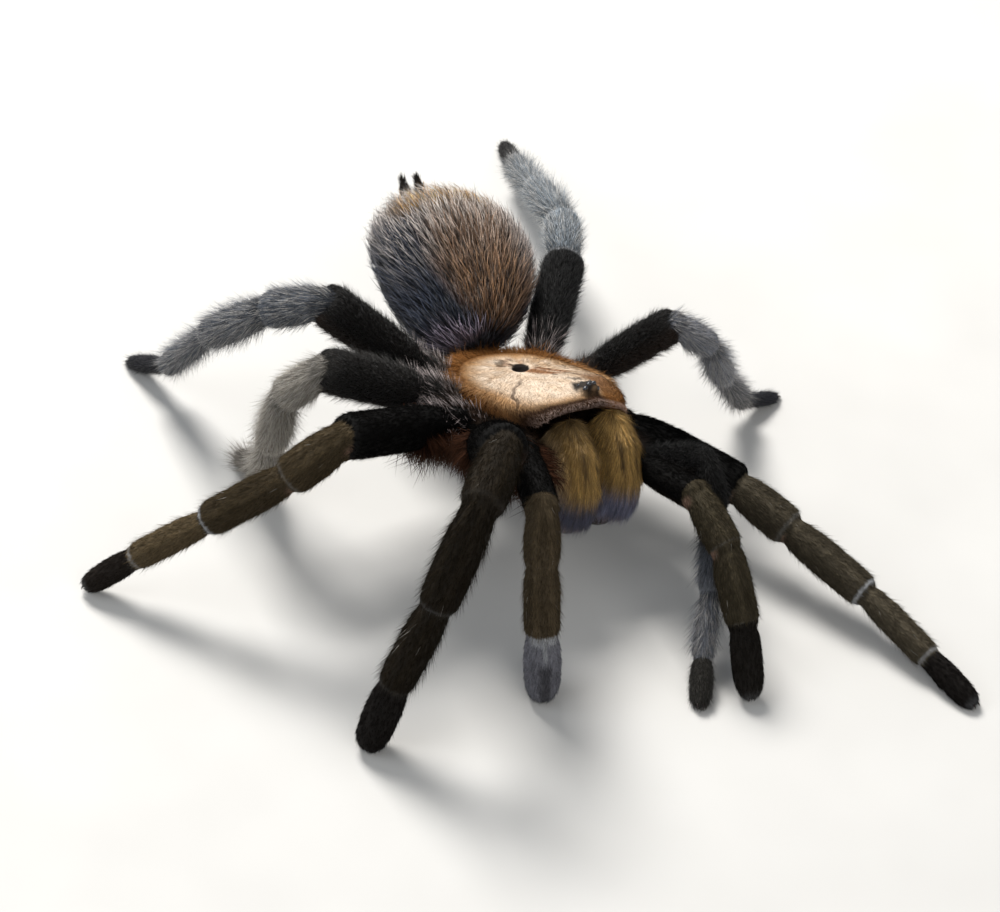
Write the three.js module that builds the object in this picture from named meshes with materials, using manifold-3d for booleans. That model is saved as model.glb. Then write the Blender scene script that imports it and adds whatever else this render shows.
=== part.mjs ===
// Adult brown tarantula, life size, standing still. Millimetres, +Z up, floor at z = 0.
import * as THREE from 'three';
import { mergeVertices } from 'three/addons/utils/BufferGeometryUtils.js';
import Module from 'manifold-3d';

const wasm = await Module();
wasm.setup();

// ---- driving sizes: every thickness is taken over the tips of the coat ----
const CARAPACE_LENGTH = 17.8;
const CARAPACE_WIDTH = 15.4;
const CARAPACE_FRONT_WIDTH = 12.6;
const CARAPACE_RISE = 2.1;
const HEAD_RISE = 1.4; // how far the head region stands above the rest of the dome
const BROW_ARCH = 2.5; // how far the front rim arches up over the jaws
const CARAPACE_SET_BACK = 0.2;
const MARGIN_DROP = 0.6;
const CHELICERA_WIDTH = 5.5;
const CHELICERA_LENGTH = 9.5;
const CHELICERA_DEPTH = 6.2;
const ABDOMEN_LENGTH = 21.6;
const ABDOMEN_WIDTH = 17.2;
const ABDOMEN_HEIGHT = 14.5;
const SPINNERET_LENGTH = 4.4;
const SEAM = 0.3; // clearance left between neighbouring solids
const PAD_PRESS = 0.12; // how far a foot pad flattens on the floor

// ---- how the body stands: nose-up and leaning to its left ----
// heading: degrees from +X towards -Y. The shell sits a little turned on the ring of leg bases.
const LEG_RING = { heading: 48, pitch: 17, roll: -16, centre: [0, 0, 15.4] };
const SHELL = { heading: 44, pitch: 11, roll: -15, centre: [0, 0.9, 15.4] };
const ABDOMEN_HEADING = 112; // degrees from +X towards +Y
const ABDOMEN_LIFT = 7;
const ABDOMEN_ASIDE = 1.5; // bulk set over to the left of the waist

// ---- legs: lengths from femur (thigh) to tarsus (foot), thickness of each, and the hip ----
const PAIRS = {
  1: {
    lengths: [13.4, 7.0, 11.4, 9.6, 7.6],
    widths: [5.0, 4.6, 4.3, 3.9, 3.8],
    socket: { angle: 61, reach: 12.8, rise: -1.6 },
  },
  2: {
    lengths: [12.6, 6.8, 10.0, 9.0, 6.8],
    widths: [4.7, 4.3, 3.9, 3.2, 2.8],
    socket: { angle: 84, reach: 12.8, rise: -1.0 },
  },
  3: {
    lengths: [11.4, 5.6, 8.2, 9.0, 6.0],
    widths: [4.7, 4.0, 3.8, 3.3, 2.4],
    socket: { angle: 110, reach: 12.6, rise: 0.2 },
  },
  4: {
    lengths: [13.6, 6.5, 11.0, 12.2, 7.6],
    widths: [4.7, 4.2, 3.9, 3.1, 2.3],
    socket: { angle: 138, reach: 12.6, rise: 0.6 },
  },
  palp: {
    lengths: [9.6, 5.8, 7.6, 7.6],
    widths: [3.5, 3.7, 3.8, 3.9],
    socket: { angle: 43, reach: 12.0, rise: -1.8 },
  },
};

// heading: degrees outward from straight ahead; lift: pitch of each segment before the foot;
// turn: sideways bend at each joint; sink: how far the hip is let down; scale: below 1 for a regrown leg;
// slim: its thickness beside its pair's
const LIMBS = [
  { name: 'leg_right_1', pair: 1, heading: 31, lift: [43, -9, -68, -65], turn: [23, 32, 7, -7] },
  { name: 'leg_right_2', pair: 2, heading: 91, lift: [19, -42, -41, -40], turn: [22, 15, 0, 0] },
  { name: 'leg_right_3', pair: 3, heading: 107, lift: [28, -48, -77, -63], turn: [22, 57, 23, -20] },
  { name: 'leg_right_4', pair: 4, heading: 115, lift: [45, -26, -47, -54], turn: [27, 25, 13, -6] },
  {
    name: 'leg_left_1',
    pair: 1,
    heading: 6,
    lift: [38, -43, -41, -39],
    turn: [-26, -18, -4, 2],
    sink: 4.3,
    scale: 0.7,
  },
  { name: 'leg_left_2', pair: 2, heading: 21, lift: [-4, -13, -12, -14], turn: [-6, -2, -5, -2], sink: 3.2 },
  {
    name: 'leg_left_3',
    pair: 3,
    heading: 35,
    lift: [51, -39, -60, -53],
    turn: [29, 43, -1, -13],
    slim: 0.82,
  },
  { name: 'leg_left_4', pair: 4, heading: 132, lift: [5, 3, -22, -26], turn: [13, 11, -4, -2] },
  { name: 'palp_right', pair: 'palp', heading: 28, lift: [11, -74, -70], turn: [-6, -1, 1] },
  { name: 'palp_left', pair: 'palp', heading: -5, lift: [22, -24, -49], turn: [0, -6, -7], sink: 3.2 },
];

// share of the full radius along each kind of segment: [how far along, share]
const SHAPES = {
  coxa: [[0, 0.95], [0.6, 1], [1, 0.9]],
  femur: [[0, 0.76], [0.3, 0.97], [0.75, 1], [1, 0.94]],
  patella: [[0, 0.86], [0.35, 1], [0.75, 1], [1, 0.86]],
  tibia: [[0, 0.8], [0.35, 1], [0.75, 0.97], [1, 0.8]],
  metatarsus: [[0, 0.8], [0.35, 1], [0.8, 0.96], [1, 0.82]],
  tarsus: [[0, 0.86], [0.35, 1], [0.8, 0.92], [0.95, 0.68], [1, 0.3]],
};
const LEG_SIDES = 10;
const COXA_WIDTH = 4.7;

const rad = THREE.MathUtils.degToRad;
const vec = (x, y, z) => new THREE.Vector3(x, y, z);
const group = new THREE.Group();

const up = vec(0, 0, 1);

// Unit vector turned from one axis towards another.
function between(from, towards, degrees) {
  const turned = from.clone().multiplyScalar(Math.cos(rad(degrees)));
  return turned.addScaledVector(towards, Math.sin(rad(degrees)));
}

// A body frame: x forward, y to the animal's left, z up through its back.
function frameOf({ heading, pitch, roll, centre }) {
  const forward = vec(Math.cos(rad(heading)), -Math.sin(rad(heading)), 0);
  const left = vec(Math.sin(rad(heading)), Math.cos(rad(heading)), 0);
  const nose = between(forward, up, pitch);
  const flank = between(left, between(up, forward, -pitch), roll);
  const spine = nose.clone().cross(flank);
  const turn = new THREE.Matrix4().makeBasis(nose, flank, spine).setPosition(...centre);
  return { forward, left, nose, flank, spine, turn, place: (x, y, z) => vec(x, y, z).applyMatrix4(turn) };
}
const ringFrame = frameOf(LEG_RING);
const { nose, flank, spine, turn: shellTurn, place } = frameOf(SHELL);

// A ring of points around a centre, stretched along two directions.
function oval(centre, across, upward, halfWidth, halfHeight, sides) {
  const ring = [];
  for (let k = 0; k < sides; k++) {
    const angle = (k * 2 * Math.PI) / sides;
    const point = centre.clone().addScaledVector(across, halfWidth * Math.cos(angle));
    ring.push(point.addScaledVector(upward, halfHeight * Math.sin(angle)));
  }
  return ring;
}

// A closed solid through rings of points, each ring the same count, capped at both ends.
function loft(rings) {
  const sides = rings[0].length;
  const points = rings.flat();
  const tris = [];
  for (let r = 0; r + 1 < rings.length; r++) {
    for (let k = 0; k < sides; k++) {
      const a = r * sides + k;
      const b = r * sides + ((k + 1) % sides);
      tris.push(a, b, b + sides, a, b + sides, a + sides);
    }
  }
  const middle = ring => ring.reduce((sum, p) => sum.add(p), vec(0, 0, 0)).divideScalar(sides);
  const first = points.push(middle(rings[0])) - 1;
  const last = points.push(middle(rings[rings.length - 1])) - 1;
  const end = (rings.length - 1) * sides;
  for (let k = 0; k < sides; k++) {
    tris.push(first, (k + 1) % sides, k);
    tris.push(last, end + k, end + ((k + 1) % sides));
  }
  return solid(points, tris);
}

function solid(points, tris) {
  const made = new wasm.Manifold(new wasm.Mesh({
    numProp: 3,
    vertProperties: new Float32Array(points.flatMap(p => p.toArray())),
    triVerts: new Uint32Array(tris),
  }));
  if (made.volume() > 0) return made;
  const turned = tris.map((_, i) => tris[i + [0, 1, -1][i % 3]]);
  return solid(points, turned);
}

function add(name, made, colour, roughness = 0.85) {
  const { vertProperties, triVerts } = made.getMesh();
  const geometry = new THREE.BufferGeometry();
  geometry.setAttribute('position', new THREE.BufferAttribute(new Float32Array(vertProperties), 3));
  geometry.setIndex(new THREE.BufferAttribute(new Uint32Array(triVerts), 1));
  const mesh = new THREE.Mesh(geometry, new THREE.MeshStandardMaterial({ color: colour, roughness }));
  mesh.name = name;
  group.add(mesh);
}

// One leg segment from joint a to joint b. Each end is mitred on the plane that halves the
// joint's bend, so that neighbours meet face to face with a seam between them.
function segment({ from, to, before, after, width, shape }) {
  const along = to.clone().sub(from);
  const length = along.length();
  along.normalize();
  const side = (Math.abs(along.z) > 0.98 ? nose : up).clone().cross(along).normalize();
  const top = along.clone().cross(side);
  const startPlane = before ? before.clone().add(along).normalize() : along;
  const endPlane = after ? after.clone().add(along).normalize() : along;
  const half = width / 2;
  const startHalf = half * shape[0][1];
  const endHalf = half * shape[shape.length - 1][1];
  const endGap = after ? SEAM / 2 : 0;
  const rings = shape.map(() => []);
  for (let k = 0; k < LEG_SIDES; k++) {
    const angle = ((k + 0.5) * 2 * Math.PI) / LEG_SIDES;
    const out = side.clone().multiplyScalar(0.95 * Math.cos(angle));
    out.addScaledVector(top, 1.05 * Math.sin(angle));
    const start = (SEAM / 2 - startHalf * startPlane.dot(out)) / startPlane.dot(along);
    const stop = length - (endGap + endHalf * endPlane.dot(out)) / endPlane.dot(along);
    shape.forEach(([t, share], r) => {
      const centre = from.clone().addScaledVector(along, start + (stop - start) * t);
      rings[r].push(centre.addScaledVector(out, half * share));
    });
  }
  return loft(rings);
}

// Direction of a segment from its heading (outward from straight ahead) and its pitch.
function aim(side, heading, pitch) {
  const flat = ringFrame.forward.clone().multiplyScalar(Math.cos(rad(heading)));
  flat.addScaledVector(ringFrame.left, side * Math.sin(rad(heading)));
  return flat.multiplyScalar(Math.cos(rad(pitch))).addScaledVector(up, Math.sin(rad(pitch)));
}

// A closed three.js geometry as a solid.
function solidOf(geometry) {
  geometry.deleteAttribute('normal');
  geometry.deleteAttribute('uv');
  const merged = mergeVertices(geometry, 1e-4);
  return new wasm.Manifold(new wasm.Mesh({
    numProp: 3,
    vertProperties: merged.attributes.position.array,
    triVerts: new Uint32Array(merged.index.array),
  }));
}

// A ball stretched along the shell's axes.
function ball(centre, radii, around, stacks) {
  const sphere = new THREE.SphereGeometry(1, around, stacks);
  sphere.scale(...radii).translate(...centre).applyMatrix4(shellTurn);
  return solidOf(sphere);
}

// ---- carapace: a low dome, blunt in front, highest over the head region ----
const WIDEST_AT = -0.6;
const HALF = CARAPACE_LENGTH / 2;
const HEAD_TOP_AT = 5.4;
const ARCH_FROM = 3.5;

function carapaceHalfWidth(x) {
  const widest = CARAPACE_WIDTH / 2;
  if (x < WIDEST_AT) return widest * (1 - Math.abs((WIDEST_AT - x) / (WIDEST_AT + HALF)) ** 2.4) ** 0.5;
  const t = (x - WIDEST_AT) / (HALF - WIDEST_AT);
  const taper = widest + (CARAPACE_FRONT_WIDTH / 2 - widest) * t ** 1.6;
  return taper * (1 - t ** 9) ** 0.35;
}

function carapaceRise(x) {
  const t = (x + HALF) / CARAPACE_LENGTH;
  const dome = CARAPACE_RISE * Math.sin(Math.PI * Math.min(1, t * 1.25) ** 0.8 * 0.5);
  const head = HEAD_RISE * Math.exp(-(((x - HEAD_TOP_AT) / 4.2) ** 2));
  const brow = t > 0.9 ? 0.1 * (t - 0.9) / 0.1 : 0;
  return dome + head - brow;
}

// How far the rim is lifted: only in front over the jaws, and most on the middle line.
function archOver(x, y) {
  const share = Math.max(0, (x - ARCH_FROM) / (HALF - ARCH_FROM)) ** 1.3;
  return BROW_ARCH * share * Math.max(0, 1 - (2 * y / CARAPACE_FRONT_WIDTH) ** 6);
}

// extra widens it all round, for cutting the room that it leaves its neighbours.
function carapace(extra) {
  const stations = [-0.995, -0.96, -0.86, -0.68, -0.45, -0.2, 0.05, 0.3, 0.5, 0.67, 0.8, 0.9, 0.96, 0.995];
  const sides = 20;
  const rings = stations.map(share => {
    const x = share * HALF;
    const endRoom = Math.abs(share) > 0.9 ? Math.sign(x) * extra : 0;
    const halfWidth = Math.max(0.8, carapaceHalfWidth(x)) + extra;
    const rise = carapaceRise(x) * Math.min(1, carapaceHalfWidth(x) / 1.8) + extra;
    const ring = [];
    for (let k = 0; k < sides; k++) {
      const angle = (k * 2 * Math.PI) / sides;
      const height = Math.sin(angle);
      const y = halfWidth * Math.cos(angle);
      const arch = archOver(x, y);
      const z = arch + (height >= 0 ? (rise - arch) * height ** 0.9 : (MARGIN_DROP + extra) * height);
      ring.push(place(x - CARAPACE_SET_BACK + endRoom, y, z));
    }
    return ring;
  });
  return loft(rings);
}

// ---- eye mound: eight small eyes on one low hill behind the front edge ----
const EYE_X = 6.8;
const EYE_Z = carapaceRise(EYE_X) - 0.1;
const MOUND = [1.05, 1.4, 0.85];
const EYES = [
  { ahead: 0.5, aside: 0.34, size: 0.27 },
  { ahead: 0.6, aside: 0.85, size: 0.24 },
  { ahead: -0.25, aside: 0.95, size: 0.22 },
  { ahead: -0.32, aside: 0.6, size: 0.18 },
];
let eyeMound = ball([EYE_X, 0, EYE_Z], MOUND, 12, 7);
for (const { ahead, aside, size } of EYES) {
  const lift = MOUND[2] * Math.sqrt(Math.max(0, 1 - (ahead / MOUND[0]) ** 2 - (aside / MOUND[1]) ** 2));
  for (const side of [-1, 1]) {
    const eye = ball([EYE_X + ahead, side * aside, EYE_Z + lift], [size, size, size], 6, 4);
    eyeMound = eyeMound.add(eye);
  }
}
const eyeSeat = ball([EYE_X, 0, EYE_Z], MOUND.map(r => r + SEAM), 12, 7);
const FOVEA_X = -2.6;
const fovea = ball([FOVEA_X, 0, carapaceRise(FOVEA_X) + 0.1], [0.75, 1.1, 0.8], 8, 6);
add('carapace', carapace(0).subtract(eyeSeat).subtract(fovea), '#b98a5c');
add('eye_mound', eyeMound, '#15130f', 0.2);

// ---- chelicerae: two upright jaw bases side by side under the front edge ----
const JAW_ROOT = [6.5, -1.1];
const JAW_BULGE = [10.5, -2.9];
const JAW_TIP = [10.3, -CHELICERA_LENGTH];
const JAW_HALF_GAP = 0.16;

// A smooth bend through the body frame's x and z, and its direction there.
function bendAt([from, pull, to], t) {
  const bend = i => (1 - t) ** 2 * from[i] + 2 * t * (1 - t) * pull[i] + t * t * to[i];
  const slope = i => (1 - t) * (pull[i] - from[i]) + t * (to[i] - pull[i]);
  return { centre: vec(bend(0), 0, bend(1)), along: vec(slope(0), 0, slope(1)).normalize() };
}

function chelicera(side, extra) {
  const shape = [[0, 0.84], [0.12, 0.97], [0.36, 1.04], [0.65, 1], [0.84, 0.9], [0.95, 0.74], [1, 0.5]];
  const sides = 14;
  const rings = shape.map(([t, share]) => {
    const { centre, along } = bendAt([JAW_ROOT, JAW_BULGE, JAW_TIP], t);
    const halfDepth = CHELICERA_DEPTH / 2 * share + extra;
    const halfWidth = share ** 0.5 * (CHELICERA_WIDTH / 2 - 0.1 + extra);
    const ring = [];
    for (let k = 0; k < sides; k++) {
      const angle = (k * 2 * Math.PI) / sides;
      const across = Math.cos(angle) * (Math.cos(angle) < 0 ? 0.92 : 1.08);
      const y = Math.max(JAW_HALF_GAP, CHELICERA_WIDTH / 2 + across * halfWidth);
      const deep = Math.sin(angle) * halfDepth;
      ring.push(place(centre.x - along.z * deep, side * y, centre.z + along.x * deep));
    }
    return ring;
  });
  return loft(rings);
}
const carapaceRoom = carapace(SEAM);
const jawRoom = chelicera(-1, SEAM).add(chelicera(1, SEAM));
add('chelicera_right', chelicera(-1, 0).subtract(carapaceRoom), '#5d5136');
add('chelicera_left', chelicera(1, 0).subtract(carapaceRoom), '#5d5136');

// ---- fangs: curved horns hinged under the jaw bases and folded back ----
const FANG_BEND = [[10.4, -8.7], [9.6, -11.5], [6.0, -10.6]];
const FANG_HALF = 0.95;

function fang(side) {
  const rings = [];
  const count = 7;
  for (let i = 0; i <= count; i++) {
    const t = i / count;
    const { centre, along } = bendAt(FANG_BEND, t);
    const half = FANG_HALF * (1 - t) ** 0.7 + 0.12;
    const outward = nose.clone().multiplyScalar(-along.z).addScaledVector(spine, along.x);
    rings.push(oval(place(centre.x, side * (2.6 - 0.9 * t), centre.z), outward, flank, half, half, 8));
  }
  return loft(rings);
}
add('fang_right', fang(-1).subtract(jawRoom), '#1a1311', 0.3);
add('fang_left', fang(1).subtract(jawRoom), '#1a1311', 0.3);

// ---- limbs: a hidden coxa in the hips, then femur, patella, tibia, metatarsus and tarsus ----
const LEG_PARTS = ['femur', 'patella', 'tibia', 'metatarsus', 'tarsus'];
const PALP_PARTS = ['femur', 'patella', 'tibia', 'tarsus'];
const underFloor = solidOf(new THREE.BoxGeometry(400, 400, 10).translate(0, 0, -5));

// The foot's pitch that brings its pad to the floor and presses it in by PAD_PRESS.
function footPitch(ankle, length, width) {
  const lowest = pitch => Math.min(...SHAPES.tarsus.map(([t, share]) => (
    ankle.z + length * t * Math.sin(rad(pitch)) - 0.5 * width * share * Math.cos(rad(pitch)))));
  let [low, high] = [-89, 40];
  for (let i = 0; i < 30; i++) {
    const mid = (low + high) / 2;
    if (lowest(mid) < -PAD_PRESS) low = mid;
    else high = mid;
  }
  return high;
}

// Joints of one limb: the inner end of its coxa, its socket, and then the end of each segment.
function limbJoints({ pair, side, heading, lift, turn, sink = 0, scale = 1, slim = 1 }) {
  const { lengths, widths, socket } = PAIRS[pair];
  const ahead = Math.cos(rad(socket.angle));
  const outward = side * 0.95 * Math.sin(rad(socket.angle));
  const joints = [
    ringFrame.place(4.2 * ahead, 4.2 * outward, -3.3),
    ringFrame.place(socket.reach * ahead, socket.reach * outward, socket.rise - sink),
  ];
  const step = (length, towards, pitch) => {
    const last = joints[joints.length - 1].clone();
    joints.push(last.addScaledVector(aim(side, towards, pitch), length * scale));
  };
  let towards = heading;
  lift.forEach((pitch, i) => {
    step(lengths[i], towards, pitch);
    towards += turn[i];
  });
  const foot = lift.length;
  step(lengths[foot], towards, footPitch(joints[foot + 1], lengths[foot] * scale, widths[foot] * scale * slim));
  return joints;
}

// A limb's bare segments: the coxa first, then the parts that it shows.
function limbSegments(limb, extra = 0) {
  const parts = limb.pair === 'palp' ? PALP_PARTS : LEG_PARTS;
  const { scale = 1, slim = 1 } = limb;
  const widths = PAIRS[limb.pair].widths.map(width => width * scale * slim + 2 * extra);
  const joints = limbJoints(limb);
  const dirs = joints.slice(1).map((joint, i) => joint.clone().sub(joints[i]).normalize());
  return ['coxa', ...parts].map((part, i) => segment({
    from: joints[i],
    to: joints[i + 1],
    before: dirs[i - 1],
    after: dirs[i + 1],
    width: i ? widths[i - 1] : Math.min(COXA_WIDTH, widths[0]),
    shape: SHAPES[part],
  }));
}

const coxae = [];
for (const limb of LIMBS) {
  const parts = limb.pair === 'palp' ? PALP_PARTS : LEG_PARTS;
  const [coxa, ...shown] = limbSegments({ ...limb, side: limb.name.includes('left') ? 1 : -1 });
  coxae.push(coxa);
  parts.forEach((part, i) => {
    let made = shown[i];
    if (part === 'tarsus') made = made.subtract(underFloor);
    if (part === 'femur' && limb.pair === 'palp') made = made.subtract(jawRoom);
    add(`${limb.name}_${part}`, made, part === 'femur' || part === 'tarsus' ? '#17130f' : '#3b3125');
  });
}

// ---- abdomen: an egg behind the waist, flatter below, with room for the hind thigh beside it ----
const waist = place(-9.4, 0, -0.9);
const tailFlat = between(vec(1, 0, 0), vec(0, 1, 0), ABDOMEN_HEADING);
const tailward = between(tailFlat, up, ABDOMEN_LIFT);
const abdomenSide = up.clone().cross(tailward).normalize();
const abdomenTop = tailward.clone().cross(abdomenSide);

// A point so far towards the tail, then aside and up from the abdomen's own centre line.
function abdomenPoint(distance, aside, rise) {
  const sway = ABDOMEN_ASIDE * Math.sin(Math.PI * Math.min(1, distance / ABDOMEN_LENGTH));
  const point = waist.clone().addScaledVector(tailward, distance);
  return point.addScaledVector(abdomenSide, aside - sway).addScaledVector(abdomenTop, rise);
}

function abdomen(extra) {
  const rings = [];
  const count = 12;
  const sides = 16;
  for (let i = 0; i <= count; i++) {
    const polar = Math.PI * (0.03 + 0.94 * (i / count));
    const t = (1 - Math.cos(polar)) / 2;
    const swell = Math.sin(polar) ** 0.9 * (0.93 + 0.14 * t);
    const halfWidth = ABDOMEN_WIDTH / 2 * swell + extra;
    const ring = [];
    for (let k = 0; k < sides; k++) {
      const angle = (k * 2 * Math.PI) / sides;
      const belly = Math.sin(angle) < 0 ? 0.86 : 1;
      const rise = (ABDOMEN_HEIGHT / 2 * swell * belly + extra) * Math.sin(angle);
      const distance = t * (ABDOMEN_LENGTH + 2 * extra) - extra;
      ring.push(abdomenPoint(distance, halfWidth * Math.cos(angle), rise + Math.sin(Math.PI * t)));
    }
    rings.push(ring);
  }
  return loft(rings);
}
const hindLimb = { ...LIMBS.find(limb => limb.name === 'leg_left_4'), side: 1 };
const thighRoom = limbSegments(hindLimb, SEAM)[1];
add('abdomen', abdomen(0).subtract(carapaceRoom).subtract(thighRoom), '#4a3c34');

// ---- spinnerets: two jointed fingers at the tail ----
const FINGER = [[0, 0.62], [0.3, 0.66], [0.36, 0.54], [0.62, 0.56], [0.68, 0.44], [0.92, 0.36], [1, 0.15]];
const abdomenRoom = abdomen(SEAM / 2);
for (const [name, side] of [['right', 1], ['left', -1]]) {
  const rings = FINGER.map(([t, half]) => {
    const distance = ABDOMEN_LENGTH - 1.2 + t * SPINNERET_LENGTH;
    const centre = abdomenPoint(distance, side * 0.8, 0.4 + 1.2 * t);
    return oval(centre, abdomenSide, abdomenTop, half, half, 8);
  });
  add(`spinneret_${name}`, loft(rings).subtract(abdomenRoom), '#1c1917');
}

// ---- sternum: the shield-shaped chest plate below ----
function sternum(extra) {
  const levels = [[-5.9 - extra, 0.86], [-5.7, 1], [-5.1, 1], [-4.9 + extra, 0.94]];
  const sides = 16;
  const rings = levels.map(([z, share]) => {
    const ring = [];
    for (let k = 0; k < sides; k++) {
      const angle = (k * 2 * Math.PI) / sides;
      const ahead = Math.cos(angle);
      const narrow = 1 - 0.22 * Math.abs(ahead) * (ahead < 0 ? 1 : 0.3);
      ring.push(place((5.0 + extra) * share * ahead, (3.9 + extra) * share * narrow * Math.sin(angle), z));
    }
    return ring;
  });
  return loft(rings);
}
add('sternum', sternum(0), '#1d1814');

// ---- hips: the underside round the sternum, the ten coxae and the waist, in one piece ----
const waistFront = place(-6.5, 0, -1.6);
const waistRings = [[0, 1.7], [0.5, 1.3], [1, 1.4]].map(([t, half]) => (
  oval(waistFront.clone().lerp(abdomenPoint(0.6, 0, 0), t), flank, spine, half, half, 10)));
let hips = ball([-0.3, 0, -2.9], [8.2, 6.4, 2.4], 12, 7).add(loft(waistRings));
for (const coxa of coxae) hips = hips.add(coxa);
for (const room of [carapaceRoom, jawRoom, sternum(SEAM), abdomen(SEAM)]) hips = hips.subtract(room);
add('hips', hips, '#3a2b22');

// The box is centred over the origin, with the floor at z = 0.
const middle = new THREE.Box3().setFromObject(group).getCenter(vec(0, 0, 0));
for (const mesh of group.children) mesh.position.set(-middle.x, -middle.y, 0);

export default group;
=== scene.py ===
import math
from types import SimpleNamespace

import bmesh
import bpy
import numpy as np
from mathutils import Matrix, Vector
from mathutils.bvhtree import BVHTree


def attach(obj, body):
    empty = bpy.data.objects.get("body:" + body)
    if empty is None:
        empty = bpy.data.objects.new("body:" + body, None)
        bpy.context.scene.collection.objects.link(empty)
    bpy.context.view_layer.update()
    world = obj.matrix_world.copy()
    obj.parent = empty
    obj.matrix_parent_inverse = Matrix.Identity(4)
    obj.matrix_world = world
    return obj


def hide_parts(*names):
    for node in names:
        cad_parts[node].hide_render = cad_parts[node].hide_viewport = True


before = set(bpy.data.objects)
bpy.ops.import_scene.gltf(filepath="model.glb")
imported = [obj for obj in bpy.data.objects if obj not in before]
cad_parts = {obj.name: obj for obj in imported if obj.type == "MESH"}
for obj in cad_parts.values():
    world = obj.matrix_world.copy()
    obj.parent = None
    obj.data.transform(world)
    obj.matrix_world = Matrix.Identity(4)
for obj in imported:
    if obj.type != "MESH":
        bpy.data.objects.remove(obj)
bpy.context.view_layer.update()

# ---- Camera, floor and lamps ----
# The model stands on a pale matt table. The camera looks down over its head end through a
# long lens, turned a little. A lamp hangs behind the tail, with weaker ones in front and aside.
MM = 0.001
LOOK_AT = Vector((-4.516, -4.244, 0.0)) * MM
CAMERA_HEIGHT_ANGLE = math.radians(43.5)
CAMERA_TURN = math.radians(7)
CAMERA_DISTANCE = 340 * MM
PICTURE_WIDTH, LENS_IN_WIDTHS = 36.0, 3.272
BOARD_HALF = 1.5
SOLE_GAP = 0.02 * MM


def add_object(name, data):
    thing = bpy.data.objects.new(name, data)
    bpy.context.scene.collection.objects.link(thing)
    return thing


camera_data = bpy.data.cameras.new("camera")
camera_data.sensor_width = PICTURE_WIDTH
camera_data.lens = PICTURE_WIDTH * LENS_IN_WIDTHS
camera_data.clip_start = 0.01
camera = add_object("camera", camera_data)
tilt_back = Matrix.Rotation(math.pi / 2 - CAMERA_HEIGHT_ANGLE, 4, "X")
view_turn = tilt_back @ Matrix.Rotation(CAMERA_TURN, 4, "Z")
back_off = Matrix.Translation((0, 0, CAMERA_DISTANCE))
camera.matrix_world = Matrix.Translation(LOOK_AT) @ view_turn @ back_off
bpy.context.scene.camera = camera
bpy.context.scene.view_settings.view_transform = "Standard"


def paint(code):
    """Linear colour of a paint chip written as #rrggbb."""
    parts = [int(code[i:i + 2], 16) / 255 for i in (1, 3, 5)]
    return np.array([c / 12.92 if c <= 0.04045 else ((c + 0.055) / 1.055) ** 2.4 for c in parts])


def set_inputs(node, **values):
    for name, value in values.items():
        node.inputs[name.replace("_", " ")].default_value = value
    return node


def new_material(name, **values):
    """A material with its tree and its main shader, whose inputs are set to values."""
    material = bpy.data.materials.new(name)
    material.use_nodes = True
    tree = material.node_tree
    return material, tree, set_inputs(tree.nodes["Principled BSDF"], **values)


def add_node(tree, kind, **values):
    return set_inputs(tree.nodes.new(f"ShaderNode{kind}"), **values)


def wire(tree, *runs):
    """Joins an output of one shader node to an input of another, for each run."""
    for source, output, target, entry in runs:
        tree.links.new(source.outputs[output], target.inputs[entry])


def mottled_finish(name, dark, light, grain, roughness):
    """A plain hard finish that wanders softly between two shades."""
    material, tree, shader = new_material(name, Roughness=roughness)
    place = add_node(tree, "TexCoord")
    mottle = add_node(tree, "TexNoise", Scale=grain)
    shades = add_node(tree, "ValToRGB")
    for stop, shade in zip(shades.color_ramp.elements, (dark, light)):
        stop.color = (*shade, 1)
    wire(tree, (place, "Object", mottle, "Vector"), (mottle, "Fac", shades, "Fac"),
         (shades, "Color", shader, "Base Color"))
    return material


def finish_mesh(name, bm):
    mesh = bpy.data.meshes.new(name)
    bm.to_mesh(mesh)
    bm.free()
    return add_object(name, mesh)


board = bmesh.new()
bmesh.ops.create_grid(board, x_segments=4, y_segments=4, size=BOARD_HALF)
floor = finish_mesh("floor", board)
floor.data.transform(Matrix.Translation((0, 0, -SOLE_GAP)))
floor.data.materials.append(mottled_finish("pale_board", (0.50, 0.49, 0.47), (0.58, 0.57, 0.55), 60, 0.9))

# Each lamp's place, size, watts and tint.
LAMPS = {
    "sky_lamp": ((-0.18, 0.26, 0.46), 0.20, 5.2, (1.0, 0.98, 0.95)),
    "front_lamp": ((0.28, -0.44, 0.36), 0.50, 1.3, (1.0, 0.97, 0.92)),
    "side_lamp": ((-0.45, -0.16, 0.30), 0.40, 1.2, (0.92, 0.96, 1.0)),
}
for name, (place, size, watts, tint) in LAMPS.items():
    light = bpy.data.lights.new(name, "AREA")
    light.size = size
    light.energy = watts
    light.color = tint
    holder = add_object(name, light)
    holder.location = place
    holder.rotation_euler = (-Vector(place)).to_track_quat("-Z", "Y").to_euler()

world = bpy.data.worlds.new("room")
bpy.context.scene.world = world
world.use_nodes = True
set_inputs(world.node_tree.nodes["Background"], Color=(0.82, 0.88, 0.96, 1), Strength=0.34)

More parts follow.
